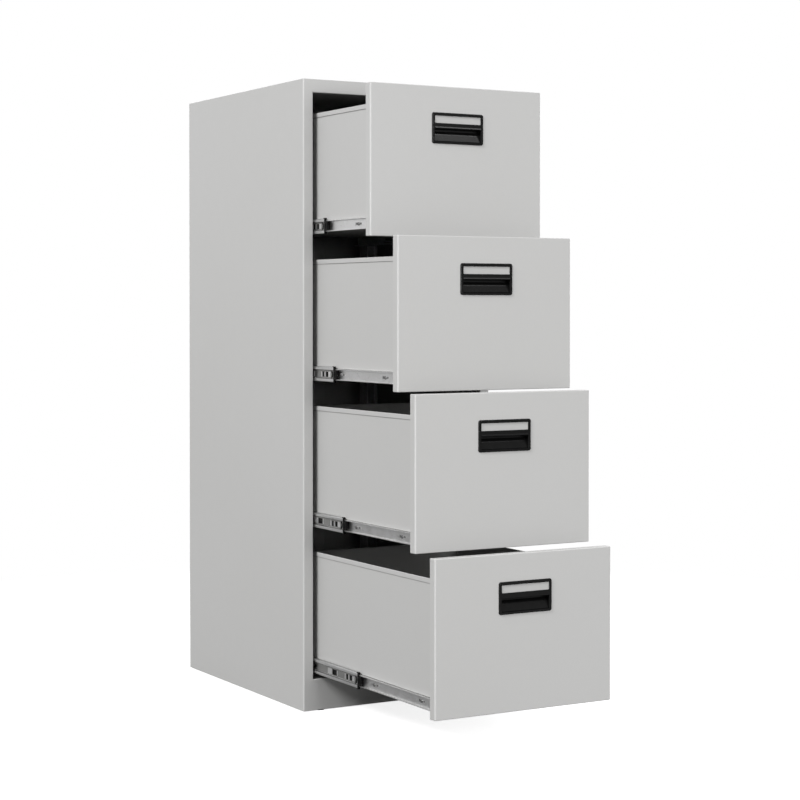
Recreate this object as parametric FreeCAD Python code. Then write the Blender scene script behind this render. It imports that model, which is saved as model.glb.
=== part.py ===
import FreeCAD, Part
import math
import os

V = FreeCAD.Vector

# Four-drawer upright filing cabinet, all sizes in millimetres.
# The drawers stand pulled out by DRAWER_OUT, top drawer first. Origin: on the
# floor, in the middle of the whole cabinet's box as it stands with its drawers
# out. +X to the right seen from the front, +Y towards the back, +Z up. The
# drawer fronts face -Y.

# ---------------------------------------------------------------- dimensions
CASE_W = 460.0
CASE_D = 590.0
CASE_H = 1330.0
SHEET = 1.0            # case and drawer sheet steel
GLIDE_H = 2.0          # how far the glides hold the case off the floor

STILE_W = 23.0         # front face of each side panel's folded edge
STILE_RETURN = 22.0
RAIL_H = 28.0          # top rail face
KICK_TOP = 68.0        # top of the plinth, bottom of the drawer opening
SIDE_BEND = 3.0        # outside radius, side to front
EDGE_BEND = 2.0        # outside radius, other case folds

FRONT_W = 408.0        # drawer front
FRONT_H = 306.6
FRONT_T = 18.0
FRONT_GAP = 1.6        # between one front and the next
FRONT_TOP = 1300.5     # top edge of the upper front
FRONT_BEND = 3.0

TRAY_W = 387.0         # outside width of a drawer body
TRAY_LEN = 545.0       # behind the front
TRAY_UP = 17.0         # body's underside above the front's bottom edge
TRAY_DROP = 41.0       # body's top edge below the front's top edge
HEM = 9.0              # folded-over top edge of the drawer sides

DRAWER_OUT = [242.0, 352.0, 419.0, 493.0]
TRAVEL = 530.0         # closed to fully out

SLIDE_UP = 26.4        # slide centre line above the front's bottom edge
SLIDE_T = 1.2
SLIDE_START = 28.0     # case member's front end behind the case front
SLIDE_LEN = 530.0
MID_START = [78.0, 92.5, 85.0, 59.5]   # middle member's front end, drawer shut
MID_LEN = 455.0
INNER_START = 20.0
INNER_LEN = 525.0
BALL_R = 1.5
OUTER_CAGE_START = 170.0
OUTER_CAGE_LEN = 200.0
INNER_CAGE_START = 236.0
INNER_CAGE_LEN = 170.0
BALLS_PER_ROW = 6

HANDLE_W = 122.0
HANDLE_H = 63.4
HANDLE_DROP = 53.4     # handle's top below the front's top edge
HANDLE_PROUD = 2.5
HANDLE_RIM = 6.0
WINDOW_W = 110.0
WINDOW_TOP = 6.4
WINDOW_H = 15.1
CUP_W = 110.0
CUP_TOP = 33.0          # underside of the bar above the cup
CUP_BOTTOM = 57.3
CUP_DEPTH = 13.6
CARD_T = 0.4

LENGTH = CASE_D + max(DRAWER_OUT) + HANDLE_PROUD
BY = LENGTH / 2.0      # plane of the case back
FY = BY - CASE_D       # plane of the case front
HW = CASE_W / 2.0
OPEN_X = HW - STILE_W  # half width of the opening

os.makedirs("parts", exist_ok=True)


# ------------------------------------------------------------------- helpers
def front_bottom(i):
    return FRONT_TOP - FRONT_H - i * (FRONT_H + FRONT_GAP)


def slide_z(i):
    return front_bottom(i) + SLIDE_UP


def box(x0, x1, y0, y1, z0, z1):
    return Part.makeBox(x1 - x0, y1 - y0, z1 - z0, V(x0, y0, z0))


def cyl(r, length, base, direction):
    return Part.makeCylinder(r, length, base, direction)


def bent_face(pts, t, radii, to3d):
    """Closed section of bent sheet: centre line, thickness, bend radii."""
    n = len(pts)
    if not isinstance(radii, (list, tuple)):
        radii = [radii] * (n - 2)
    dirs = []
    for k in range(n - 1):
        dx = pts[k + 1][0] - pts[k][0]
        dy = pts[k + 1][1] - pts[k][1]
        m = math.hypot(dx, dy)
        dirs.append((dx / m, dy / m))
    chains = []
    for s in (t / 2.0, -t / 2.0):
        segs = []
        cur = (pts[0][0] - dirs[0][1] * s, pts[0][1] + dirs[0][0] * s)
        for k in range(1, n - 1):
            d0, d1 = dirs[k - 1], dirs[k]
            cross = d0[0] * d1[1] - d0[1] * d1[0]
            dot = d0[0] * d1[0] + d0[1] * d1[1]
            ang = math.atan2(cross, dot)
            r = radii[k - 1]
            turn = 1.0 if ang > 0 else -1.0
            tl = r * math.tan(abs(ang) / 2.0)
            a = (pts[k][0] - d0[0] * tl, pts[k][1] - d0[1] * tl)
            b = (pts[k][0] + d1[0] * tl, pts[k][1] + d1[1] * tl)
            c = (a[0] - d0[1] * r * turn, a[1] + d0[0] * r * turn)
            a2 = (a[0] - d0[1] * s, a[1] + d0[0] * s)
            b2 = (b[0] - d1[1] * s, b[1] + d1[0] * s)
            rr = r - s * turn
            bx, by = pts[k][0] - c[0], pts[k][1] - c[1]
            bm = math.hypot(bx, by)
            mid = (c[0] + bx / bm * rr, c[1] + by / bm * rr)
            segs.append(("line", cur, a2))
            segs.append(("arc", a2, mid, b2))
            cur = b2
        last = (pts[-1][0] - dirs[-1][1] * s, pts[-1][1] + dirs[-1][0] * s)
        segs.append(("line", cur, last))
        chains.append(segs)
    left, right = chains
    edges = []

    def add(seg, rev=False):
        p = [V(*to3d(*q)) for q in seg[1:]]
        if rev:
            p.reverse()
        if seg[0] == "line":
            if p[0].distanceToPoint(p[1]) > 1e-6:
                edges.append(Part.LineSegment(p[0], p[1]).toShape())
        else:
            edges.append(Part.Arc(p[0], p[1], p[2]).toShape())

    for seg in left:
        add(seg)
    add(("line", left[-1][-1], right[-1][-1]))
    for seg in reversed(right):
        add(seg, True)
    add(("line", right[0][1], left[0][1]))
    return Part.Face(Part.Wire(edges))


def plan_sheet(pts, t, radii, z0, z1):
    f = bent_face(pts, t, radii, lambda a, b: (a, b, z0))
    return f.extrude(V(0, 0, z1 - z0))


def front_sheet(pts, t, radii, y0, y1):
    """Section in XZ, run along Y."""
    f = bent_face(pts, t, radii, lambda a, b: (a, y0, b))
    return f.extrude(V(0, y1 - y0, 0))


def side_sheet(pts, t, radii, x0, x1):
    """Section in YZ, run along X."""
    f = bent_face(pts, t, radii, lambda a, b: (x0, a, b))
    return f.extrude(V(x1 - x0, 0, 0))


def mirrored(shape):
    return shape.mirror(V(0, 0, 0), V(1, 0, 0))


def moved(shape, x=0.0, y=0.0, z=0.0):
    s = shape.copy()
    s.translate(V(x, y, z))
    return s


def solids_of(shape):
    return list(shape.Solids)


def one(shape):
    s = shape.removeSplitter()
    if len(s.Solids) != 1:
        raise RuntimeError("expected one solid, got %d" % len(s.Solids))
    return s.Solids[0]


def in_parts(shape, regions):
    """A folded sheet as its flat and its bent lengths, meeting face to face."""
    bb = shape.BoundBox
    out = []
    for r in regions:
        z0, z1 = r[4:] if len(r) == 6 else (bb.ZMin - 1, bb.ZMax + 1)
        out += solids_of(shape.common(box(r[0], r[1], r[2], r[3], z0, z1)))
    if abs(sum(s.Volume for s in out) - shape.Volume) > 0.5:
        raise RuntimeError("regions don't cover the sheet")
    return out


def edges_where(shape, test):
    return [e for e in shape.Edges if test(e)]


def write(name, shapes):
    if not isinstance(shapes, list):
        shapes = [shapes]
    out = []
    for s in shapes:
        out.extend(solids_of(s))
    for s in out:
        if not s.isValid() or s.Volume <= 0:
            raise RuntimeError("bad solid in " + name)
    shape = out[0] if len(out) == 1 else Part.makeCompound(out)
    shape.exportStep("parts/" + name + ".step")
    print("%-26s %3d solids %12.1f mm3" % (name, len(out), shape.Volume))


# ---------------------------------------------------------------------- case
REAR_GLIDE = (-(HW - 13.0), BY - 30.0)
FRONT_GLIDE = (-185.0, FY + 11.5)
GLIDE_STEM_R = 3.5
POST_T = 1.2
POST_W = 38.0
POST_FACE = TRAY_W / 2.0 + 12.7          # where the slides are fixed
POST_FRONT = FY + 36.0
POST_REAR = BY - 76.0
POST_TOP = CASE_H - 31.0                 # open end, below the top sheet
RIVET_Y = (POST_FRONT + POST_W / 2.0, POST_REAR + POST_W / 2.0)
SIDE_TOP = CASE_H - SHEET


def side_panel():
    h = SHEET / 2.0
    pts = [(-OPEN_X - 9.0, FY + STILE_RETURN - h),
           (-OPEN_X - h, FY + STILE_RETURN - h),
           (-OPEN_X - h, FY + h),
           (-HW + h, FY + h),
           (-HW + h, BY - h),
           (-HW + 17.0, BY - h)]
    s = plan_sheet(pts, SHEET,
                   [1.2, EDGE_BEND - h, SIDE_BEND - h, EDGE_BEND - h],
                   GLIDE_H, SIDE_TOP)
    f1, f2, lip = SIDE_BEND + 1.0, EDGE_BEND + 1.0, FY + STILE_RETURN - 2.0
    corner, face, bend, back, edge, side, rear = in_parts(s, [
        (-HW - 1, -HW + f1, FY - 1, FY + f1),
        (-HW + f1, -OPEN_X - f2, FY - 1, FY + f1),
        (-OPEN_X - f2, -OPEN_X + 1, FY - 1, FY + f2),
        (-OPEN_X - f2, -OPEN_X + 1, FY + f2, lip),
        (-OPEN_X - 12, -OPEN_X + 1, lip, lip + 4),
        (-HW - 1, -HW + f1, FY + f1, BY - f2),
        (-HW - 1, -HW + 20, BY - f2, BY + 1)])
    # where the stile meets the top rail and the plinth its face runs on flat
    for za, zb in ((GLIDE_H, KICK_TOP - EDGE_BEND),
                   (CASE_H - RAIL_H + EDGE_BEND, SIDE_TOP)):
        bend = bend.fuse(box(-OPEN_X - EDGE_BEND - 0.5, -OPEN_X, FY, FY + SHEET, za, zb))
    # folded flanges that carry the top and the glides
    top = box(-HW + SHEET, -HW + 16.0, FY + 26, BY - 6, SIDE_TOP - SHEET, SIDE_TOP)
    foot = box(-HW + SHEET, -OPEN_X - 1.0, FY + 26, BY - 6, GLIDE_H, GLIDE_H + SHEET)
    foot = foot.cut(cyl(GLIDE_STEM_R + 0.05, 10,
                        V(REAR_GLIDE[0], REAR_GLIDE[1], -1), V(0, 0, 1)))
    return [corner, face, one(bend), back, edge, side, rear, top, one(foot)]


def top_panel():
    h = SHEET / 2.0
    cap = box(-HW, HW, FY, BY, SIDE_TOP, CASE_H)
    ver = edges_where(cap, lambda e: abs(e.Vertexes[0].Z - e.Vertexes[1].Z) > 0.5)
    fr = [e for e in ver if e.Vertexes[0].Y < 0]
    re_ = [e for e in ver if e.Vertexes[0].Y > 0]
    cap = cap.makeFillet(SIDE_BEND, fr)
    re2 = edges_where(cap, lambda e: abs(e.Vertexes[0].Z - e.Vertexes[-1].Z) > 0.5
                      and e.Vertexes[0].Y > BY - 0.01)
    cap = cap.makeFillet(EDGE_BEND, re2)
    x1 = OPEN_X
    rail = side_sheet([(FY + STILE_RETURN - h, CASE_H - RAIL_H + 10),
                       (FY + STILE_RETURN - h, CASE_H - RAIL_H + h),
                       (FY + h, CASE_H - RAIL_H + h),
                       (FY + h, CASE_H - h)],
                      SHEET, [1.2, EDGE_BEND - h], -x1, x1)
    rear = box(-HW + 4.5, HW - 4.5, BY - 3, BY - 2, CASE_H - 20, SIDE_TOP + 0.5)
    s = cap.fuse(rail).fuse(rear).removeSplitter()
    # soft outer edge all round the top
    top = edges_where(s, lambda e: min(v.Z for v in e.Vertexes) > CASE_H - 0.01)
    s = s.makeFillet(0.7, top)
    return one(s)


def back_panel():
    # flat sheet stiffened by two shallow upright beads pressed outwards
    s = box(-HW + 2.1, HW - 2.1, BY - 2, BY - 1, 3.0, CASE_H - 1.2)
    beads = []
    for x in (-115.0, 115.0):
        zone = box(x - 14, x + 14, BY - 2, BY - 0.2, 140, 1190)
        inner = box(x - 12.8, x + 12.8, BY - 2.5, BY - 1.2, 141.2, 1188.8)
        s = s.cut(zone)
        beads.append(zone.cut(inner))
    return [s] + beads


def base_pan():
    h = SHEET / 2.0
    x1 = OPEN_X
    s = side_sheet([(FY + 21, GLIDE_H + h),
                    (FY + h, GLIDE_H + h),
                    (FY + h, KICK_TOP - h),
                    (BY - 2.5, KICK_TOP - h),
                    (BY - 2.5, KICK_TOP - 20)],
                   SHEET, [EDGE_BEND - h, EDGE_BEND - h, EDGE_BEND - h], -x1, x1)
    for sx in (-1, 1):
        s = s.cut(cyl(GLIDE_STEM_R + 0.05, 10,
                      V(sx * FRONT_GLIDE[0], FRONT_GLIDE[1], -1), V(0, 0, 1)))
    f, u, v = FY + EDGE_BEND + 1.0, GLIDE_H + EDGE_BEND + 1.0, KICK_TOP - EDGE_BEND - 1.0
    out = in_parts(s, [
        (-HW, HW, f, FY + 30, 0, u), (-HW, HW, FY - 1, f, 0, u),
        (-HW, HW, FY - 1, f, u, v), (-HW, HW, FY - 1, f, v, KICK_TOP + 1),
        (-HW, HW, f, BY - 5, v, KICK_TOP + 1),
        (-HW, HW, BY - 5, BY, v, KICK_TOP + 1), (-HW, HW, BY - 5, BY, u, v)])
    # side flanges that rest against the side sheets
    for sx in (-1, 1):
        a, b = sorted((sx * x1, sx * (HW - 2.1)))
        out.append(box(a, b, FY + 24, BY - 4, KICK_TOP - SHEET, KICK_TOP))
        a, b = sorted((sx * (HW - 2.1), sx * (HW - 1.1)))
        out.append(box(a, b, FY + 24, BY - 4, KICK_TOP - 20, KICK_TOP))
    return out


def post(y0):
    xf = -POST_FACE - POST_T / 2.0
    xs = -HW + SHEET + POST_T / 2.0
    s = plan_sheet([(xs, y0 - 10), (xs, y0), (xf, y0), (xf, y0 + POST_W),
                    (xs, y0 + POST_W), (xs, y0 + POST_W + 10)],
                   POST_T, 1.6, KICK_TOP, POST_TOP)
    yc = y0 + POST_W / 2.0
    for i in range(4):
        z = slide_z(i)
        s = s.cut(cyl(2.05, 6, V(-POST_FACE - 4, yc, z), V(1, 0, 0)))
        # hook slots above each slide, for the slide's other heights
        for dz in (45, 70, 95, 120):
            s = s.cut(box(-POST_FACE - 4, -POST_FACE + 2, yc - 3, yc + 3,
                          z + dz, z + dz + 14))
    ya, yb = y0 - 20, y0 + POST_W + 20
    yc, yd = y0 + 2.2, y0 + POST_W - 2.2
    return in_parts(s, [(-HW, xs + 1.6, ya, yb), (xs + 1.6, xf - 1.6, ya, yb),
                        (xf - 1.6, xf + 3, ya, yc), (xf - 1.6, xf + 3, yc, yd),
                        (xf - 1.6, xf + 3, yd, yb)])


def glide(x, y):
    pad = cyl(9.0, GLIDE_H, V(x, y, 0), V(0, 0, 1))
    pad = pad.makeFillet(0.8, edges_where(
        pad, lambda e: max(v.Z for v in e.Vertexes) < 0.01))
    stem = cyl(GLIDE_STEM_R, 9.0, V(x, y, GLIDE_H), V(0, 0, 1))
    stem = stem.makeChamfer(0.8, edges_where(
        stem, lambda e: min(v.Z for v in e.Vertexes) > GLIDE_H + 8.9))
    collar = cyl(5.0, 1.5, V(x, y, GLIDE_H + SHEET), V(0, 0, 1))
    return one(pad.fuse(stem).fuse(collar))


def rivet(y, z):
    x_in = -POST_FACE + SLIDE_T
    shank = cyl(2.0, SLIDE_T + POST_T, V(-POST_FACE - POST_T, y, z), V(1, 0, 0))
    head = cyl(3.6, 1.2, V(-POST_FACE - POST_T - 1.2, y, z), V(1, 0, 0))
    head = head.makeFillet(0.7, edges_where(
        head, lambda e: max(v.X for v in e.Vertexes) < -POST_FACE - POST_T - 1.1))
    return one(shank.fuse(head))


# -------------------------------------------------------------------- slides
# Sections are drawn for the left-hand slide, centred on z = 0, with the case
# side at -POST_FACE and the drawer side at -TRAY_W / 2.
XO = -POST_FACE


def outer_section():
    t = SLIDE_T / 2.0
    return [(XO + 9.9, 17.2), (XO + 8.9, 19.3), (XO + t, 19.3),
            (XO + t, -19.3), (XO + 8.9, -19.3), (XO + 9.9, -17.2)]


def slide_outer(i):
    s = front_sheet([(a, b + slide_z(i)) for a, b in outer_section()],
                    SLIDE_T, [0.9, 1.4, 1.4, 0.9],
                    FY + SLIDE_START, FY + SLIDE_START + SLIDE_LEN)
    for y in RIVET_Y:
        s = s.cut(cyl(2.05, 6, V(XO - 2, y, slide_z(i)), V(1, 0, 0)))
    # bent-in stop at the front end of the web
    y0 = FY + SLIDE_START
    s = s.cut(box(XO - 1, XO + 2, y0 - 1, y0 + 7, slide_z(i) - 5, slide_z(i) + 5))
    for y in (110.0, 250.0, 400.0):
        s = s.cut(slot_x(XO - 2, y0 + y, slide_z(i), 5.0, 14.0, 4))
    return one(s)


def slot_x(x, y, z, w, length, depth):
    """Cutter for an oblong hole through a web, long way along Y."""
    r = w / 2.0
    c = box(x, x + depth, y - length / 2.0 + r, y + length / 2.0 - r, z - r, z + r)
    for sy in (-1, 1):
        c = c.fuse(cyl(r, depth, V(x, y + sy * (length / 2.0 - r), z), V(1, 0, 0)))
    return c


def slide_middle(i):
    """Middle member; its front end is at y = 0 here and it runs towards +Y."""
    t = SLIDE_T / 2.0
    xr = XO + 3.2          # centre line of the rails' outer faces
    xw = XO + 5.8          # centre line of the sunk web
    xe = XO + 10.4
    z0 = slide_z(i)
    pts = [(xe, 15.0), (xr, 15.0), (xr, 8.9), (xw, 7.4),
           (xw, -7.4), (xr, -8.9), (xr, -15.0), (xe, -15.0)]
    s = front_sheet([(a, b + z0) for a, b in pts], SLIDE_T,
                    [1.5, 0.9, 0.9, 0.9, 0.9, 1.5], 0.0, MID_LEN)
    xc = xr - 2.0
    # arc cut near the end, two windows side by side, and a square window
    ring = cyl(11.0, 6, V(xc, 16.2, z0), V(1, 0, 0)).cut(
        cyl(5.2, 6, V(xc, 16.2, z0), V(1, 0, 0)))
    ring = ring.common(box(xc, xc + 6, 5.0, 13.6, z0 - 9.0, z0 + 9.0))
    s = s.cut(ring)
    s = s.cut(box(xc, xc + 6, 26.0, 36.6, z0 - 5.4, z0 + 5.4))
    s = s.cut(box(xc, xc + 6, 43.2, 51.4, z0 - 5.4, z0 + 5.4))
    s = s.cut(box(xc, xc + 6, 92.0, 112.0, z0 - 5.7, z0 + 5.7))
    for y in (190.0, 300.0, 410.0):
        s = s.cut(slot_x(xc, y, z0, 6.0, 16.0, 6))
    # pads pressed outwards beside the windows, and the lip between the twins
    for ya, yb, dz in ((15.5, 25.2, 5.2), (37.6, 42.2, 5.0), (52.4, 57.5, 5.4),
                       (88.4, 91.4, 5.4), (113.2, 131.5, 5.8)):
        s = s.fuse(box(xw - t - 0.8, xw, ya, yb, z0 - dz, z0 + dz))
    return one(s)


def slide_bumper(i):
    """Black plastic end piece of the middle member, in front of y = 0."""
    z0 = slide_z(i)
    xr = XO + 3.2 - SLIDE_T / 2.0
    plate = box(xr, xr + 2.2, -3.2, 0.0, z0 - 15.6, z0 + 15.6)
    block = box(xr, XO + 8.4, -12.5, 0.0, z0 - 9.0, z0 + 9.0)
    block = block.makeFillet(1.2, edges_where(
        block, lambda e: abs(e.Vertexes[0].X - e.Vertexes[-1].X) > 1
        and e.Vertexes[0].Y < -12))
    block = block.cut(box(xr - 1, xr + 1.0, -10.4, -4.0, z0 - 6.0, z0 + 6.0))
    block = block.fuse(box(xr + 0.3, xr + 2.0, -7.8, -6.6, z0 - 6.0, z0 + 6.0))
    # hooks over the rails
    lugs = []
    for sz in (-1, 1):
        for ya, yb, za, zb in ((-3.2, 3.4, 15.65, 17.0), (-3.2, -0.05, 12.0, 17.0)):
            za, zb = sorted((z0 + sz * za, z0 + sz * zb))
            lugs.append(box(xr, xr + 5.0, ya, yb, za, zb))
    # tongue that reaches back behind the web, seen through its windows
    plug = box(XO + 7.0, XO + 8.4, -1.0, 118.0, z0 - 8.7, z0 + 8.7)
    s = plate.fuse(block).fuse(plug)
    for k in lugs:
        s = s.fuse(k)
    return one(s)


def slide_inner(i):
    """Drawer member, measured from the front's outer face at y = 0."""
    xw = -TRAY_W / 2.0 - SLIDE_T / 2.0
    z0 = slide_z(i)
    pts = [(xw - 6.8, 10.7), (xw, 10.7), (xw, -10.7), (xw - 6.8, -10.7)]
    s = front_sheet([(a, b + z0) for a, b in pts], SLIDE_T, 1.4,
                    INNER_START, INNER_START + INNER_LEN)
    for y in SCREW_Y:
        s = s.cut(cyl(2.15, 6, V(xw - 3, y, z0), V(1, 0, 0)))
    # spare fixing holes either side of the first two screws
    s = s.cut(slot_x(xw - 3, 55.6, z0, 4.6, 6.0, 6))
    s = s.cut(slot_x(xw - 3, 72.4, z0, 5.4, 7.6, 6))
    s = s.cut(slot_x(xw - 3, 239.0, z0, 4.4, 6.0, 6))
    s = s.cut(cyl(2.2, 6, V(xw - 3, 261.0, z0), V(1, 0, 0)))
    s = s.cut(slot_x(xw - 3, 430.0, z0, 4.0, 16.0, 6))
    # tabs pressed outwards beside them
    for ya, yb in ((77.4, 82.4), (229.6, 234.6)):
        s = s.fuse(box(xw - SLIDE_T / 2.0 - 0.6, xw, ya, yb, z0 - 3.6, z0 + 3.6))
    return one(s)


def ball_row(x, z, y0, length):
    out = []
    step = (length - 16.0) / (BALLS_PER_ROW - 1)
    for k in range(BALLS_PER_ROW):
        out.append((x, y0 + 8.0 + k * step, z))
    return out


def outer_cage(i):
    """Steel strip with its balls, between case member and middle member."""
    z0 = slide_z(i)
    t = 0.5
    xb = XO + 6.0
    y0 = FY + OUTER_CAGE_START
    arm = XO + 8.1
    xs = XO + 1.85
    s = front_sheet([(arm, z0 + 17.15), (xs, z0 + 17.15),
                     (xs, z0 - 17.15), (arm, z0 - 17.15)],
                    t, 0.8, y0, y0 + OUTER_CAGE_LEN)
    balls = []
    for sz in (1, -1):
        for p in ball_row(xb, z0 + sz * 17.15, y0, OUTER_CAGE_LEN):
            s = s.cut(cyl(BALL_R + 0.05, 4, V(p[0], p[1], p[2] - 2), V(0, 0, 1)))
            balls.append(Part.makeSphere(BALL_R, V(*p)))
    for k in range(5):
        s = s.cut(box(xs - 2, xs + 2, y0 + 22 + 34 * k, y0 + 42 + 34 * k,
                      z0 - 10, z0 + 10))
    return [one(s)] + balls


def inner_cage(i):
    """Two angle strips with their balls, between middle and drawer member."""
    z0 = slide_z(i)
    t = 0.5
    xb = XO + 7.6
    y0 = FY + INNER_CAGE_START
    out = []
    balls = []
    for sz in (1, -1):
        s = front_sheet([(XO + 10.2, z0 + sz * 12.85), (XO + 4.55, z0 + sz * 12.85),
                         (XO + 4.55, z0 + sz * 9.6)],
                        t, 0.6, y0, y0 + INNER_CAGE_LEN)
        for p in ball_row(xb, z0 + sz * 12.85, y0, INNER_CAGE_LEN):
            s = s.cut(cyl(BALL_R + 0.05, 4, V(p[0], p[1], p[2] - 2), V(0, 0, 1)))
            balls.append(Part.makeSphere(BALL_R, V(*p)))
        out.append(one(s))
    return out + balls


# ------------------------------------------------------------------- drawers
# Everything on a drawer is drawn with the front's outer face at y = 0.
SCREW_Y = (64.0, 251.0, 500.0)


def drawer_front(i):
    z0 = front_bottom(i)
    z1 = z0 + FRONT_H
    hx = FRONT_W / 2.0
    s = box(-hx, hx, 0, FRONT_T, z0, z1)
    s = s.makeFillet(FRONT_BEND, edges_where(
        s, lambda e: abs(e.Vertexes[0].Z - e.Vertexes[1].Z) > 10
        and e.Vertexes[0].Y < 0.01))
    s = s.makeFillet(1.6, edges_where(
        s, lambda e: abs(e.Vertexes[0].X - e.Vertexes[-1].X) > 100
        and max(v.Y for v in e.Vertexes) < 0.01))
    inner = box(-hx + SHEET, hx - SHEET, SHEET, FRONT_T + 1, z0 + SHEET, z1 - SHEET)
    inner = inner.makeFillet(FRONT_BEND - SHEET, edges_where(
        inner, lambda e: abs(e.Vertexes[0].Z - e.Vertexes[1].Z) > 10
        and e.Vertexes[0].Y < SHEET + 0.01))
    s = s.cut(inner)
    # hole for the handle's cup
    zt = z1 - HANDLE_DROP
    s = s.cut(box(-CUP_W / 2 - 3.2, CUP_W / 2 + 3.2, -1, 2,
                  zt - CUP_BOTTOM - 2.2, zt - CUP_TOP + 8.0))
    return one(s)


def drawer_inner_panel(i):
    """Sheet that closes the back of the drawer front."""
    z0 = front_bottom(i)
    z1 = z0 + FRONT_H
    hx = FRONT_W / 2.0 - SHEET - 0.1
    s = box(-hx, hx, FRONT_T - 9, FRONT_T, z0 + SHEET + 0.1, z1 - SHEET - 0.1)
    s = s.makeFillet(1.6, edges_where(
        s, lambda e: min(v.Y for v in e.Vertexes) > FRONT_T - 0.01))
    s = s.cut(box(-hx + SHEET, hx - SHEET, FRONT_T - 12, FRONT_T - SHEET,
                  z0 + 2 * SHEET + 0.1, z1 - 2 * SHEET - 0.1))
    return one(s)


def drawer_tray(i):
    """Two side sheets with folded-over top edges, the bottom sheet between
    them, and the flanges spot-welded to the inner panel."""
    z0 = front_bottom(i)
    h = SHEET / 2.0
    hx = TRAY_W / 2.0
    zb = z0 + TRAY_UP
    zt = z0 + FRONT_H - TRAY_DROP
    y0, y1 = FRONT_T, FRONT_T + TRAY_LEN
    g = 1.2
    side = front_sheet([(-hx + h - g, zt - HEM), (-hx + h - g, zt - h),
                        (-hx + h, zt - h), (-hx + h, zb + h), (-hx + h + 1.5, zb + h)],
                       SHEET, [0.59, 0.59, 1.5], y0, y1)
    for y in SCREW_Y:
        side = side.cut(cyl(2.15, 6, V(-hx - 3, y, slide_z(i)), V(1, 0, 0)))
    side = one(side)
    flange = box(-hx + SHEET, -hx + 16, y0, y0 + SHEET, zb + 16, zt - 12)
    bottom = box(-hx + h + 1.5, hx - h - 1.5, y0, y1, zb, zb + SHEET)
    toe = box(-hx + 22, hx - 22, y0, y0 + SHEET, zb + SHEET, zb + 16)
    return [side, mirrored(side), bottom, flange, mirrored(flange), toe]


def drawer_back(i):
    z0 = front_bottom(i)
    h = SHEET / 2.0
    hx = TRAY_W / 2.0 - SHEET - 0.1
    zb = z0 + TRAY_UP + SHEET
    zt = z0 + FRONT_H - TRAY_DROP - 6.0
    y1 = FRONT_T + TRAY_LEN
    # upright sheet with folded sides, and its top edge folded backwards
    s = plan_sheet([(-hx + h, y1 - 15), (-hx + h, y1 - h - 1.0),
                    (hx - h, y1 - h - 1.0), (hx - h, y1 - 15)],
                   SHEET, 1.5, zb + 2.2, zt)
    s = s.fuse(box(-hx + 2.0, hx - 2.0, y1 - 12.0, y1 - 1.2, zt - SHEET, zt))
    s = s.fuse(box(-hx + 2.0, hx - 2.0, y1 - 12.0, y1 - 1.2, zb + 0.02, zb + 0.02 + SHEET))
    s = s.fuse(box(-hx + 2.0, hx - 2.0, y1 - 2.0, y1 - 1.0, zb + 0.02, zb + 3.0))
    return one(s)


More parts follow.
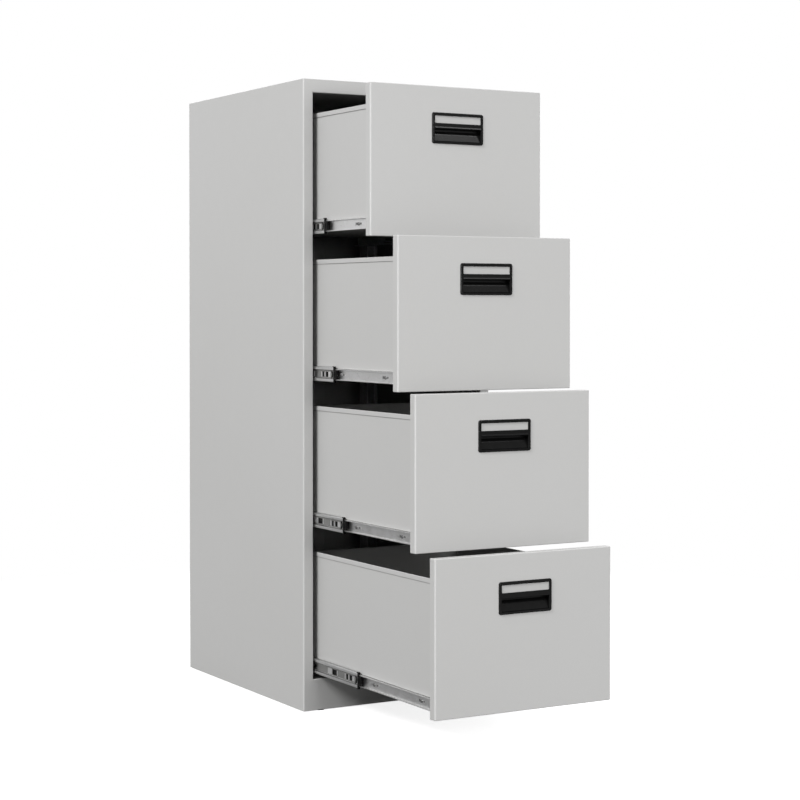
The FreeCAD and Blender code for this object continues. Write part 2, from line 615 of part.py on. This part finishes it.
def handle(i):
    z1 = front_bottom(i) + FRONT_H
    zt = z1 - HANDLE_DROP
    hw = HANDLE_W / 2.0
    p = HANDLE_PROUD
    # frame with rounded corners and a softened outer edge
    s = box(-hw, hw, -p, 0, zt - HANDLE_H, zt)
    s = s.makeFillet(4.5, edges_where(
        s, lambda e: abs(e.Vertexes[0].Y - e.Vertexes[1].Y) > 1))
    s = s.makeFillet(1.3, edges_where(
        s, lambda e: max(v.Y for v in e.Vertexes) < -p + 0.01))
    # cup body behind the frame
    cw = CUP_W / 2.0 + 1.6
    body = box(-cw, cw, -0.5, CUP_DEPTH + 1.6, zt - CUP_BOTTOM - 1.6, zt - CUP_TOP + 7.4)
    body = body.makeFillet(2.0, edges_where(
        body, lambda e: min(v.Y for v in e.Vertexes) > CUP_DEPTH + 1.5))
    s = s.fuse(body)
    # the bar's lower edge flares out to a lip
    lip = Part.Face(Part.makePolygon([
        V(-CUP_W / 2.0, -p + 0.1, zt - CUP_TOP + 4.4), V(-CUP_W / 2.0, -p - 0.9, zt - CUP_TOP + 2.2),
        V(-CUP_W / 2.0, -p - 0.9, zt - CUP_TOP + 1.7), V(-CUP_W / 2.0, -p + 0.1, zt - CUP_TOP + 0.2),
        V(-CUP_W / 2.0, -p + 0.1, zt - CUP_TOP + 4.4)])).extrude(V(CUP_W, 0, 0))
    s = s.fuse(lip)
    # label window with a bevelled edge, and the pocket for the card behind it
    ww = WINDOW_W / 2.0
    win = box(-ww, ww, -p - 1, 1, zt - WINDOW_TOP - WINDOW_H, zt - WINDOW_TOP)
    win = win.makeFillet(0.8, edges_where(
        win, lambda e: abs(e.Vertexes[0].Y - e.Vertexes[1].Y) > 1))
    s = s.cut(win)
    s = s.cut(box(-ww - 1.6, ww + 1.6, -0.7, 1.0,
                  zt - WINDOW_TOP - WINDOW_H - 1.6, zt - WINDOW_TOP + 1.6))
    # cup hollow: sloping scoop below, finger room behind the bevelled bar above
    hx = CUP_W / 2.0
    zc = lambda d: zt - d
    pts = [V(-hx, -p - 2, zc(CUP_TOP - 1.2)), V(-hx, -p - 0.3, zc(CUP_TOP - 1.2)),
           V(-hx, 0.2, zc(CUP_TOP)), V(-hx, 1.6, zc(CUP_TOP)),
           V(-hx, 2.8, zc(CUP_TOP - 5.8)), V(-hx, CUP_DEPTH, zc(CUP_TOP - 5.8)),
           V(-hx, CUP_DEPTH, zc(CUP_TOP + 4.5))]
    edges = [Part.LineSegment(pts[k], pts[k + 1]).toShape() for k in range(len(pts) - 1)]
    # steep apron up from the lip, rolled over into the deep part behind the bar
    a = pts[-1]
    b = V(-hx, 0.3, zc(CUP_BOTTOM))
    r1 = V(-hx, 4.5, zc(CUP_TOP + 12.0))
    mid = V(-hx, 8.0, zc(CUP_TOP + 7.0))
    edges.append(Part.Arc(a, mid, r1).toShape())
    edges.append(Part.LineSegment(r1, b).toShape())
    c = V(-hx, -p, zc(CUP_BOTTOM + 1.6))
    d = V(-hx, -p - 2, zc(CUP_BOTTOM + 1.6))
    for q0, q1 in ((b, c), (c, d), (d, pts[0])):
        edges.append(Part.LineSegment(q0, q1).toShape())
    hollow = Part.Face(Part.Wire(edges)).extrude(V(2 * hx, 0, 0))
    s = s.cut(hollow)
    # softened side edges of the cup's mouth
    for sx in (-1, 1):
        tri = Part.Face(Part.makePolygon([
            V(sx * (hx - 0.1), -p - 0.1, zc(CUP_TOP + 1.5)), V(sx * (hx + 0.9), -p - 0.1, zc(CUP_TOP + 1.5)),
            V(sx * (hx - 0.1), -p + 1.3, zc(CUP_TOP + 1.5)), V(sx * (hx - 0.1), -p - 0.1, zc(CUP_TOP + 1.5))]))
        s = s.cut(tri.extrude(V(0, 0, -(CUP_BOTTOM - CUP_TOP - 2.0))))
    # snap hooks behind the steel
    for sx in (-1, 1):
        for dz in (CUP_TOP + 3.0, CUP_BOTTOM - 7.0):
            f = Part.Face(Part.makePolygon([
                V(sx * (cw - 0.5), 1.15, zc(dz)), V(sx * (cw + 3.0), 1.15, zc(dz)),
                V(sx * (cw + 2.4), 2.6, zc(dz)), V(sx * (cw - 0.5), 6.5, zc(dz)),
                V(sx * (cw - 0.5), 1.15, zc(dz))]))
            s = s.fuse(f.extrude(V(0, 0, -5.0)))
    return one(s)


def label_card(i):
    z1 = front_bottom(i) + FRONT_H
    zt = z1 - HANDLE_DROP
    ww = WINDOW_W / 2.0 + 1.2
    return box(-ww, ww, -0.1 - CARD_T, -0.1,
               zt - WINDOW_TOP - WINDOW_H - 1.2, zt - WINDOW_TOP + 1.2)


def screw(y, z):
    """Pan-head screw through slide and drawer side, head in the slide."""
    x_head = -TRAY_W / 2.0 - SLIDE_T
    shank = cyl(2.0, 6.0, V(x_head, y, z), V(1, 0, 0))
    head = cyl(3.6, 1.8, V(x_head - 1.8, y, z), V(1, 0, 0))
    head = head.makeFillet(0.9, edges_where(
        head, lambda e: max(v.X for v in e.Vertexes) < x_head - 1.7))
    for k in range(2):
        slot = box(x_head - 2.2, x_head - 0.9, y - 1.9, y + 1.9, z - 0.4, z + 0.4)
        if k:
            slot.rotate(V(0, y, z), V(1, 0, 0), 90)
        head = head.cut(slot)
    nut = Part.Face(Part.makePolygon([
        V(-TRAY_W / 2.0 + SHEET, y + 3.5 * math.cos(math.radians(60 * k)),
          z + 3.5 * math.sin(math.radians(60 * k))) for k in range(7)])).extrude(V(2.4, 0, 0))
    return one(shank.fuse(head).fuse(nut))


# --------------------------------------------------------------------- write
sp = side_panel()
write("side_panel_left", sp)
write("side_panel_right", [mirrored(s) for s in sp])
write("top_panel", top_panel())
write("back_panel", back_panel())
write("base_pan", base_pan())
po = post(POST_FRONT) + post(POST_REAR)
write("slide_uprights", po + [mirrored(s) for s in po])
gl = [glide(FRONT_GLIDE[0], FRONT_GLIDE[1]), glide(REAR_GLIDE[0], REAR_GLIDE[1])]
write("floor_glides", gl + [mirrored(g) for g in gl])
rv = []
for i in range(4):
    for y in RIVET_Y:
        r0 = rivet(y, slide_z(i))
        rv += [r0, mirrored(r0)]
write("case_rivets", rv)

for i in range(4):
    n = i + 1
    out = DRAWER_OUT[i]
    yd = FY - out
    so = slide_outer(i)
    write("slide_%d_outer" % n, [so, mirrored(so)])
    ym = FY + MID_START[i] - out / 2.0
    sm = moved(slide_middle(i), y=ym)
    write("slide_%d_middle" % n, [sm, mirrored(sm)])
    sb = moved(slide_bumper(i), y=ym)
    write("slide_%d_bumpers" % n, [sb, mirrored(sb)])
    oc = [moved(s, y=-out * 0.25) for s in outer_cage(i)]
    write("slide_%d_outer_cages" % n, oc + [mirrored(s) for s in oc])
    ic = [moved(s, y=-out * 0.75) for s in inner_cage(i)]
    write("slide_%d_inner_cages" % n, ic + [mirrored(s) for s in ic])
    si = moved(slide_inner(i), y=yd)
    write("drawer_%d_slide_members" % n, [si, mirrored(si)])
    write("drawer_%d_front" % n, moved(drawer_front(i), y=yd))
    write("drawer_%d_inner_panel" % n, moved(drawer_inner_panel(i), y=yd))
    write("drawer_%d_tray" % n, [moved(t, y=yd) for t in drawer_tray(i)])
    write("drawer_%d_back" % n, moved(drawer_back(i), y=yd))
    write("drawer_%d_handle" % n, moved(handle(i), y=yd))
    write("drawer_%d_label_card" % n, moved(label_card(i), y=yd))
    scr = []
    for y in SCREW_Y:
        s0 = moved(screw(y, slide_z(i)), y=yd)
        scr += [s0, mirrored(s0)]
    write("drawer_%d_screws" % n, scr)
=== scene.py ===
import bpy, bmesh, math
from mathutils import Vector, Matrix


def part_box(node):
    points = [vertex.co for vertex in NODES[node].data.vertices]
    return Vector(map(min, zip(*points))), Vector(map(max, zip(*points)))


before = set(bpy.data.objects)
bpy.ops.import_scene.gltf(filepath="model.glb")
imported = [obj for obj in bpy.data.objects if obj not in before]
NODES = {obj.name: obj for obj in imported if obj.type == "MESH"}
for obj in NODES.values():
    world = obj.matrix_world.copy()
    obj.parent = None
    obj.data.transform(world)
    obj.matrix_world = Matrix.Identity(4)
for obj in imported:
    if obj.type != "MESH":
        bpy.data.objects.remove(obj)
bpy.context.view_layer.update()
scene = bpy.context.scene


# ------------------------------------------------------------------ node helpers
class Mat:
    """A principled material with short calls for its texture nodes, all in the object's own coordinates."""

    def __init__(self, name):
        self.m = bpy.data.materials.new(name)
        self.m.use_nodes = True
        self.nt = self.m.node_tree
        self.nt.nodes.clear()
        self.out = self.nt.nodes.new("ShaderNodeOutputMaterial")
        self.b = self.nt.nodes.new("ShaderNodeBsdfPrincipled")
        self.nt.links.new(self.b.outputs[0], self.out.inputs[0])
        self.co = self.nt.nodes.new("ShaderNodeTexCoord").outputs["Object"]

    def link(self, a, b):
        self.nt.links.new(a, b)
        return b

    def scaled(self, sx, sy, sz):
        n = self.nt.nodes.new("ShaderNodeMapping")
        n.inputs["Scale"].default_value = (sx, sy, sz)
        self.link(self.co, n.inputs["Vector"])
        return n.outputs["Vector"]

    def noise(self, scale, detail=2.0, rough=0.5, vec=None, distortion=0.0):
        n = self.nt.nodes.new("ShaderNodeTexNoise")
        n.inputs["Scale"].default_value = scale
        n.inputs["Detail"].default_value = detail
        n.inputs["Roughness"].default_value = rough
        n.inputs["Distortion"].default_value = distortion
        self.link(vec if vec is not None else self.co, n.inputs["Vector"])
        return n.outputs["Fac"]

    def cells(self, scale, vec=None, feature="F1"):
        n = self.nt.nodes.new("ShaderNodeTexVoronoi")
        n.feature = feature
        n.inputs["Scale"].default_value = scale
        self.link(vec if vec is not None else self.co, n.inputs["Vector"])
        return n

    def ramp(self, fac, stops):
        n = self.nt.nodes.new("ShaderNodeValToRGB")
        e = n.color_ramp.elements
        while len(e) < len(stops):
            e.new(0.5)
        for k, (p, c) in enumerate(stops):
            e[k].position = p
            e[k].color = (*c, 1.0) if isinstance(c, (tuple, list)) else (c, c, c, 1.0)
        self.link(fac, n.inputs["Fac"])
        return n.outputs["Color"]

    def map(self, fac, a, b, lo=0.0, hi=1.0):
        n = self.nt.nodes.new("ShaderNodeMapRange")
        n.inputs["From Min"].default_value = lo
        n.inputs["From Max"].default_value = hi
        n.inputs["To Min"].default_value = a
        n.inputs["To Max"].default_value = b
        self.link(fac, n.inputs["Value"])
        return n.outputs["Result"]

    def math(self, op, a, b=None, clamp=False):
        n = self.nt.nodes.new("ShaderNodeMath")
        n.operation = op
        n.use_clamp = clamp
        for k, v in enumerate((a, b)):
            if v is None:
                continue
            if isinstance(v, (int, float)):
                n.inputs[k].default_value = v
            else:
                self.link(v, n.inputs[k])
        return n.outputs[0]

    def mix(self, fac, a, b, blend="MIX"):
        n = self.nt.nodes.new("ShaderNodeMix")
        n.data_type = "RGBA"
        n.blend_type = blend
        for key, v in ((0, fac), (6, a), (7, b)):
            if isinstance(v, (int, float)):
                n.inputs[key].default_value = v
            elif isinstance(v, (tuple, list)):
                n.inputs[key].default_value = (*v, 1.0)
            else:
                self.link(v, n.inputs[key])
        return n.outputs[2]

    def bump(self, height, distance, strength=1.0, normal=None):
        n = self.nt.nodes.new("ShaderNodeBump")
        n.inputs["Strength"].default_value = strength
        n.inputs["Distance"].default_value = distance
        self.link(height, n.inputs["Height"])
        if normal is not None:
            self.link(normal, n.inputs["Normal"])
        return n.outputs["Normal"]

    def set(self, **kw):
        names = {
            "color": "Base Color", "rough": "Roughness", "metal": "Metallic", "normal": "Normal",
            "spec": "Specular IOR Level", "coat": "Coat Weight", "coat_rough": "Coat Roughness",
            "ior": "IOR", "aniso": "Anisotropic", "sheen": "Sheen Weight",
        }
        for k, v in kw.items():
            s = self.b.inputs[names[k]]
            if isinstance(v, (int, float)):
                s.default_value = v
            elif isinstance(v, (tuple, list)):
                s.default_value = (*v, 1.0)
            else:
                self.link(v, s)
        return self.m


def grey(v, warm=0.0):
    return (v * (1 + warm * 0.5), v * (1 + warm * 0.25), v * (1 - warm))


def folds(k):
    """0 on flat faces, 1 on a bend halfway between two of them, from the surface's own normal."""
    n = k.nt.nodes.new("ShaderNodeTexCoord").outputs["Normal"]
    sep = k.nt.nodes.new("ShaderNodeSeparateXYZ")
    k.link(n, sep.inputs[0])
    ax, ay, az = (k.math("ABSOLUTE", sep.outputs[i]) for i in range(3))
    xy, yz, xz = k.math("MULTIPLY", ax, ay), k.math("MULTIPLY", ay, az), k.math("MULTIPLY", ax, az)
    return k.math("MULTIPLY", k.math("MAXIMUM", xy, k.math("MAXIMUM", yz, xz)), 2.0, clamp=True)


def powder_coat(name, base, warm=0.012, drift=0.012, fold_highlight=1.10):
    """Light satin powder coat: slow drift of tone over a sheet, fine speckle, slight orange peel, and a painted
    highlight on the folds (lighter colour on bends).
    """
    k = Mat(name)
    slow = k.noise(1.7, 2.0, 0.4)
    fleck = k.noise(430.0, 3.0, 0.6)
    tone = k.ramp(slow, [(0.3, grey(base * (1 - drift), warm)), (0.7, grey(base * (1 + drift), warm * 0.6))])
    speck = k.ramp(fleck, [(0.35, 0.985), (0.65, 1.0)])
    col = k.mix(1.0, tone, speck, "MULTIPLY")
    # painted highlight: colour lighter on the bends, where light would catch them
    col = k.mix(folds(k), col, grey(min(base * fold_highlight, 0.9), warm * 0.5))
    rough = k.map(k.noise(38.0, 3.0, 0.6), 0.48, 0.56, 0.3, 0.7)
    peel = k.noise(620.0, 2.0, 0.45)
    return k.set(color=col, rough=rough, metal=0.0, spec=0.36, normal=k.bump(peel, 0.00002, 0.4))


def shade_inside(m, half, front, back_y, top, shade_share):
    """Painted shade on the faces inside a box: base colour darkened by a given factor, with a slight random spread, on
    faces nearer the middle than half, behind front, ahead of back_y and below top."""
    nt = m.node_tree
    b = next(n for n in nt.nodes if n.type == "BSDF_PRINCIPLED")
    k = Mat.__new__(Mat)
    k.m, k.nt, k.b = m, nt, b
    k.co = nt.nodes.new("ShaderNodeTexCoord").outputs["Object"]
    col = b.inputs["Base Color"].links[0].from_socket
    sep = nt.nodes.new("ShaderNodeSeparateXYZ")
    k.link(k.co, sep.inputs[0])
    inner = k.map(k.math("ABSOLUTE", sep.outputs[0]), 1.0, 0.0, half - 0.0001, half + 0.0001)
    behind = k.map(sep.outputs[1], 0.0, 1.0, front - 0.0001, front + 0.0001)
    ahead = k.map(sep.outputs[1], 1.0, 0.0, back_y - 0.0001, back_y + 0.0001)
    below = k.map(sep.outputs[2], 1.0, 0.0, top - 0.0001, top + 0.0001)
    f = k.math("MULTIPLY", k.math("MULTIPLY", inner, behind), k.math("MULTIPLY", ahead, below))
    # painted shade: inner faces darkened to a share of the base colour
    inside_shade = k.map(k.noise(7.0, 3.0, 0.55), shade_share * 0.94, shade_share * 1.06, 0.3, 0.7)
    shaded_col = k.mix(1.0, col, inside_shade, "MULTIPLY")
    k.link(k.mix(f, col, shaded_col), b.inputs["Base Color"])
    return m


def tray_coat(name, base, hem_z, strip):
    """The same coat on a drawer body, with a painted shadow line on the outer face under its folded-over top hem, and
    painted shade behind the slide strip (lowest and highest corner), seen through the strip's slots and holes."""
    m = powder_coat(name, base)
    nt = m.node_tree
    b = next(n for n in nt.nodes if n.type == "BSDF_PRINCIPLED")
    k = Mat.__new__(Mat)
    k.m, k.nt, k.b = m, nt, b
    k.co = nt.nodes.new("ShaderNodeTexCoord").outputs["Object"]
    col = b.inputs["Base Color"].links[0].from_socket
    sep = nt.nodes.new("ShaderNodeSeparateXYZ")
    k.link(k.co, sep.inputs[0])
    outer = k.map(k.math("ABSOLUTE", sep.outputs[0]), 0.0, 1.0, 0.1931, 0.1933)
    below = k.map(k.math("SUBTRACT", hem_z, sep.outputs[2]), 1.0, 0.0, 0.0006, 0.0026)
    above = k.map(k.math("SUBTRACT", hem_z, sep.outputs[2]), 0.0, 1.0, -0.0004, 0.0)
    line = k.math("MULTIPLY", k.math("MULTIPLY", below, above), outer)
    # painted shadow: darker band on the outer face just under the hem
    col = k.mix(k.math("MULTIPLY", line, 0.5), col, grey(base * 0.35, 0.02))
    # painted shade: outer face behind the slide strip made near black, seen through its slots and holes
    mid = (strip[0][2] + strip[1][2]) / 2
    band = k.map(k.math("ABSOLUTE", k.math("SUBTRACT", sep.outputs[2], mid)), 1.0, 0.0, 0.0115, 0.0125)
    ahead = k.map(sep.outputs[1], 0.0, 1.0, strip[0][1] + 0.001, strip[0][1] + 0.0012)
    behind = k.map(sep.outputs[1], 1.0, 0.0, strip[1][1] - 0.0012, strip[1][1] - 0.001)
    strip_shade = k.math("MULTIPLY", k.math("MULTIPLY", band, outer), k.math("MULTIPLY", ahead, behind))
    k.link(k.mix(k.math("MULTIPLY", strip_shade, 0.9), col, grey(base * 0.12, 0.02)), b.inputs["Base Color"])
    return m


def zinc_plate(name, base=0.84, lo=0.26, hi=0.40, along=(700.0, 9.0, 700.0), web=None):
    """Bright zinc on drawn steel strip: lines along the strip, soft clouding, small darker scuffs.

    web=(z, x): the sunk web at height z is painted darker (painted shade), the rails and pressed pads, which stand
    further out than x, lighter (painted highlight), with a painted shadow line along each step from web to rail."""
    k = Mat(name)
    lines = k.noise(1.0, 3.0, 0.6, k.scaled(*along))
    cloud = k.noise(55.0, 3.0, 0.55)
    scuff = k.noise(260.0, 4.0, 0.7, k.scaled(1.0, 0.25, 1.0))
    c = k.ramp(cloud, [(0.3, grey(base * 0.90, 0.008)), (0.7, grey(base, -0.004))])
    if web:
        sep = k.nt.nodes.new("ShaderNodeSeparateXYZ")
        k.link(k.co, sep.inputs[0])
        out = k.map(k.math("ABSOLUTE", sep.outputs[0]), 0.0, 1.0, web[1] - 0.0002, web[1])
        far = k.map(k.math("ABSOLUTE", k.math("SUBTRACT", sep.outputs[2], web[0])), 0.0, 1.0, 0.0066, 0.0084)
        pad = k.math("MULTIPLY", out, k.math("SUBTRACT", 1.0, far))
        rail = k.math("MULTIPLY", out, far)
        # painted shade on the sunk web, painted highlight on the pads and rails
        c = k.mix(k.math("SUBTRACT", 1.0, out), c, grey(base * 0.62, 0.01))
        c = k.mix(pad, c, grey(min(base * 1.25, 0.95)))
        c = k.mix(k.math("MULTIPLY", rail, 0.6), c, grey(min(base * 1.1, 0.95)))
        # painted shadow: dark line along each step between web and rail
        off = k.math("SUBTRACT", k.math("ABSOLUTE", k.math("SUBTRACT", sep.outputs[2], web[0])), 0.0086)
        step_shadow = k.math("SUBTRACT", 1.0, k.map(k.math("ABSOLUTE", off), 0.0, 1.0, 0.0003, 0.0011))
        c = k.mix(k.math("MULTIPLY", step_shadow, 0.85), c, grey(base * 0.12, 0.03))
    c = k.mix(k.map(scuff, 0.0, 0.30, 0.56, 0.72), c, grey(base * 0.5, 0.03))
    r = k.math("ADD", k.map(lines, lo, hi, 0.3, 0.7), k.map(cloud, 0.0, 0.08, 0.3, 0.7))
    return k.set(color=c, rough=r, metal=1.0, normal=k.bump(lines, 0.00002, 0.5))


def black_plastic(name, base=0.0055, lo=0.19, hi=0.25, spec=0.36):
    """Moulded black plastic with a fine spark texture and faint flow clouding."""
    k = Mat(name)
    spark = k.cells(1500.0)
    cloud = k.noise(60.0, 2.0, 0.5)
    c = k.ramp(cloud, [(0.3, grey(base * 0.85)), (0.7, grey(base * 1.2))])
    r = k.map(k.noise(900.0, 2.0, 0.5), lo, hi, 0.3, 0.7)
    return k.set(color=c, rough=r, spec=spec, normal=k.bump(spark.outputs["Distance"], 0.00002, 0.25))


def card_stock(name, base=0.54):
    """Matt pale card with short fibres."""
    k = Mat(name)
    fib = k.noise(1.0, 4.0, 0.7, k.scaled(1400.0, 1400.0, 350.0))
    blot = k.noise(90.0, 2.0, 0.5)
    c = k.mix(1.0, k.ramp(fib, [(0.3, grey(base * 0.96, 0.01)), (0.7, grey(base, 0.008))]),
              k.ramp(blot, [(0.3, 0.98), (0.7, 1.0)]), "MULTIPLY")
    return k.set(color=c, rough=k.map(fib, 0.72, 0.86, 0.3, 0.7), spec=0.25, normal=k.bump(fib, 0.00002, 0.5))


def nylon(name, base=0.16):
    k = Mat(name)
    c = k.ramp(k.noise(140.0, 3.0, 0.6), [(0.3, grey(base * 0.9)), (0.7, grey(base * 1.1))])
    return k.set(color=c, rough=k.map(k.noise(700.0), 0.45, 0.6, 0.3, 0.7), spec=0.4,
                 normal=k.bump(k.noise(1200.0), 0.00003, 0.5))


CASE = powder_coat("case_powder_coat", 0.56)
DRAWER = powder_coat("drawer_powder_coat", 0.565)
FRONT_Z = [1.3005 - 0.3066 * (i + 1) - 0.0016 * i for i in range(4)]
TRAY = [tray_coat("tray_powder_coat_%d" % (i + 1), 0.55, FRONT_Z[i] + 0.3066 - 0.041 - 0.009,
                  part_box("drawer_%d_slide_members" % (i + 1))) for i in range(4)]
# painted shade on the inner faces of the case and of each drawer body
LO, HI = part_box("side_panel_left")
shade_inside(CASE, abs(LO[0]) - 0.0007, LO[1] + 0.00105, HI[1] - 0.0008, HI[2] + 0.0003, 0.74)
for i in range(4):
    LO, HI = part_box("drawer_%d_tray" % (i + 1))
    shade_inside(TRAY[i], HI[0] - 0.0017, LO[1] - 0.0005, HI[1] - 0.0015, HI[2] - 0.0005, 0.66)
ZINC = zinc_plate("zinc_strip")
# painted shade: the uprights inside the case get a darker copy of the strip zinc
ZINC_V = zinc_plate("zinc_upright", 0.70, 0.30, 0.46, (700.0, 700.0, 9.0))
ZINC_S = zinc_plate("zinc_fastener", 0.30, 0.38, 0.50, (300.0, 300.0, 300.0))
BLACK = black_plastic("black_handle_plastic")
BLACK2 = black_plastic("black_slide_plastic", 0.004, 0.36, 0.44, 0.2)
CARD = card_stock("blank_card_stock")
NYLON = nylon("grey_nylon_moulding")
MIDDLE = [zinc_plate("zinc_middle_member_%d" % (i + 1), base=0.76, web=(FRONT_Z[i] + 0.0264, 0.2013)) for i in range(4)]

LOOK = {}
for n in NODES:
    if n.endswith("_handle"):
        LOOK[n] = BLACK
    elif n.endswith("_bumpers"):
        LOOK[n] = BLACK2
    elif n.endswith("_label_card"):
        LOOK[n] = CARD
    elif n == "floor_glides":
        LOOK[n] = NYLON
    elif n == "slide_uprights":
        LOOK[n] = ZINC_V
    elif n.endswith("_screws") or n == "case_rivets":
        LOOK[n] = ZINC_S
    elif n.startswith("slide_") and n.endswith("_middle"):
        LOOK[n] = MIDDLE[int(n.split("_")[1]) - 1]
    elif n.startswith("slide_") or n.endswith("_slide_members"):
        LOOK[n] = ZINC
    elif n.endswith("_front"):
        LOOK[n] = DRAWER
    elif n.startswith("drawer_"):
        LOOK[n] = TRAY[int(n.split("_")[1]) - 1]
    else:
        LOOK[n] = CASE
for n, o in NODES.items():
    if not o.material_slots:
        o.data.materials.append(LOOK[n])
    for s in o.material_slots:
        s.material = LOOK[n]


# ------------------------------------------------------------------ stage
def floor():
    bm = bmesh.new()
    rings = [0.0, 1.2, 2.5, 5.0, 10.0, 25.0, 60.0]
    steps = 96
    last = None
    centre = bm.verts.new((0, 0, 0))
    for r in rings[1:]:
        ring = [bm.verts.new((r * math.cos(2 * math.pi * k / steps), r * math.sin(2 * math.pi * k / steps), 0.0))
                for k in range(steps)]
        for k in range(steps):
            a, b = ring[k], ring[(k + 1) % steps]
            if last is None:
                bm.faces.new((centre, a, b))
            else:
                bm.faces.new((last[k], a, b, last[(k + 1) % steps]))
        last = ring
    me = bpy.data.meshes.new("stage_floor")
    bm.to_mesh(me)
    bm.free()
    o = bpy.data.objects.new("stage_floor", me)
    scene.collection.objects.link(o)
    k = Mat("stage_floor_paint")
    nt = k.nt
    c = k.ramp(k.noise(3.0, 3.0, 0.5), [(0.3, (0.88, 0.88, 0.88)), (0.7, (0.90, 0.90, 0.90))])
    k.set(color=c, rough=0.8, spec=0.1)
    glow = nt.nodes.new("ShaderNodeEmission")
    glow.inputs["Strength"].default_value = 0.82
    add = nt.nodes.new("ShaderNodeAddShader")
    k.link(k.b.outputs[0], add.inputs[0])
    k.link(glow.outputs[0], add.inputs[1])
    white = nt.nodes.new("ShaderNodeEmission")
    dist = nt.nodes.new("ShaderNodeVectorMath")
    dist.operation = "LENGTH"
    k.link(k.co, dist.inputs[0])
    near = nt.nodes.new("ShaderNodeMixShader")
    k.link(k.map(dist.outputs["Value"], 0.0, 1.0, 0.9, 2.2), near.inputs[0])
    k.link(add.outputs[0], near.inputs[1])
    k.link(white.outputs[0], near.inputs[2])
    dull = nt.nodes.new("ShaderNodeBsdfDiffuse")
    k.link(k.ramp(k.noise(2.0), [(0.3, 0.24), (0.7, 0.27)]), dull.inputs["Color"])
    seen = nt.nodes.new("ShaderNodeMixShader")
    k.link(nt.nodes.new("ShaderNodeLightPath").outputs["Is Camera Ray"], seen.inputs[0])
    k.link(dull.outputs[0], seen.inputs[1])
    k.link(near.outputs[0], seen.inputs[2])
    k.link(seen.outputs[0], k.out.inputs[0])
    o.data.materials.append(k.m)
    return o


def around(azimuth, elevation, distance, aim_z=0.66):
    """A point seen from the cabinet at an azimuth from its front (minus is left) and an elevation."""
    a, e = math.radians(azimuth), math.radians(elevation)
    return (distance * math.sin(a) * math.cos(e), -distance * math.cos(a) * math.cos(e), aim_z + distance * math.sin(e))


def area(name, loc, target, size, energy, color=(1, 1, 1), size_y=None):
    d = bpy.data.lights.new(name, "AREA")
    d.shape = "RECTANGLE"
    d.size = size
    d.size_y = size_y or size
    d.energy = energy
    d.color = color
    o = bpy.data.objects.new(name, d)
    scene.collection.objects.link(o)
    o.location = loc
    o.rotation_euler = (Vector(target) - Vector(loc)).to_track_quat("-Z", "Y").to_euler()
    return o


floor()
area("key_left", around(-69, 36, 12.0), (0, 0, 0.6), 5.4, 1240.0, size_y=4.0)
area("front_soft", around(3, 9, 6.4), (0, 0, 0.7), 2.2, 176.0, size_y=1.8)
area("front_top_right", around(34.5, 41.7, 4.34), (0, 0.3, 1.1), 1.6, 6.0, size_y=0.9)
area("glint_right", (2.08, -2.47, 4.2), (0, 0.3, 1.2), 0.9, 7.0, size_y=0.5)
area("back_left_panel", around(-150, 15, 4.2), (0, 0, 0.8), 4.6, 22.0, size_y=2.6)
area("right_fill", around(105, 22, 3.6), (0, 0, 0.7), 2.4, 55.0)
area("back_fill", around(160, 24, 3.8), (0, 0, 0.7), 2.4, 55.0)

w = bpy.data.worlds.new("studio")
scene.world = w
w.use_nodes = True
nt = w.node_tree
nt.nodes.clear()
wout = nt.nodes.new("ShaderNodeOutputWorld")
bg_light = nt.nodes.new("ShaderNodeBackground")
bg_seen = nt.nodes.new("ShaderNodeBackground")
bg_light.inputs["Color"].default_value = (1.0, 1.0, 1.0, 1.0)
bg_light.inputs["Strength"].default_value = 0.22
bg_seen.inputs["Color"].default_value = (1.0, 1.0, 1.0, 1.0)
bg_seen.inputs["Strength"].default_value = 1.0
mixw = nt.nodes.new("ShaderNodeMixShader")
lp = nt.nodes.new("ShaderNodeLightPath")
nt.links.new(lp.outputs["Is Camera Ray"], mixw.inputs[0])
nt.links.new(bg_light.outputs[0], mixw.inputs[1])
nt.links.new(bg_seen.outputs[0], mixw.inputs[2])
nt.links.new(mixw.outputs[0], wout.inputs["Surface"])

scene.view_settings.view_transform = "Standard"
scene.view_settings.look = "None"

# ------------------------------------------------------------------ camera
cam = bpy.data.cameras.new("camera")
cam.sensor_width = 36.0
cam.lens = 87.994
cam.shift_x = 0.0
cam.shift_y = (335.0 - 400.0) / 800.0
cam.clip_start = 0.05
cam.clip_end = 200.0
co = bpy.data.objects.new("camera", cam)
scene.collection.objects.link(co)
YAW, PITCH = math.radians(-29.8805), math.radians(0.8134)
back = Vector((math.sin(YAW) * math.cos(PITCH), -math.cos(YAW) * math.cos(PITCH), math.sin(PITCH)))
co.location = (-2.09487, -3.69935, 0.85141)
co.rotation_mode = "QUATERNION"
co.rotation_quaternion = (-back).to_track_quat("-Z", "Y")
scene.camera = co
